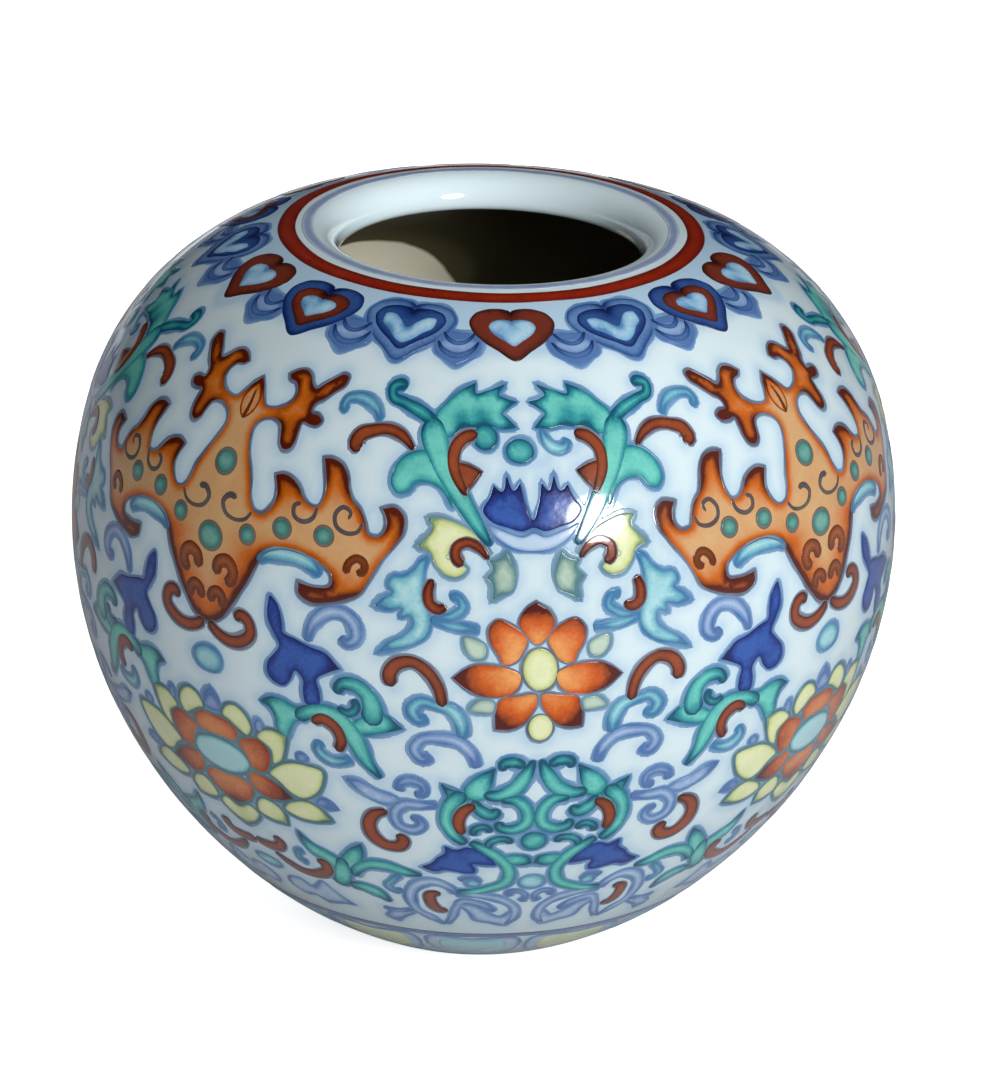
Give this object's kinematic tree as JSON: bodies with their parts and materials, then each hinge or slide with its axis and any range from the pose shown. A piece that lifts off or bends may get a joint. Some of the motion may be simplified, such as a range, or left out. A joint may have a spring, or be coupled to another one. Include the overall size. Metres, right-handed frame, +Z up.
{
  "type": "water coupe",
  "caption": "Apple-shaped porcelain water coupe with a narrow rolled mouth and a low foot ring, painted all round with bats, lotus scrolls and a collar of heart lappets.",
  "frame": {"origin": "middle of the foot ring, on the table", "axes": "+Z up along the axis of the pot, -Y towards the middle of one repeat of the pattern"},
  "size_m": [0.1002, 0.1002, 0.0894],
  "materials": {
    "porcelain_clay": "white fired clay under the glaze",
    "bare_foot": "matt bare clay with a faint buff burn",
    "clear_glaze": "glossy clear glaze, bluish white",
    "inner_glaze": "glossy cream-white glaze",
    "cobalt_blue": "painted blue under a glossy glaze",
    "iron_red_enamel": "satin iron-red enamel",
    "orange_enamel": "iron-red enamel shaded to orange",
    "green_enamel": "glossy translucent green enamel",
    "turquoise_enamel": "glossy pale turquoise enamel",
    "yellow_enamel": "glossy pale lemon enamel"
  },
  "bodies": {
    "root": {"lower_body": "porcelain_clay", "upper_body": "porcelain_clay", "mouth_lip": "porcelain_clay", "luting_seam": "porcelain_clay", "foot_ring": "bare_foot", "outer_glaze": "clear_glaze", "inner_glaze": "inner_glaze", "base_glaze": "clear_glaze", "cobalt_lip_line": "cobalt_blue", "cobalt_foot_line": "cobalt_blue", "iron_red_band": "iron_red_enamel", "foot_panels": "green_enamel", "ruyi_lappets": "cobalt_blue", "lotus_petals": "orange_enamel", "lotus_hearts": "yellow_enamel", "yellow_petals": "yellow_enamel", "yellow_lotus_petals": "orange_enamel", "yellow_lotus_hearts": "turquoise_enamel", "bats": "orange_enamel"}
  },
  "joints": []
}
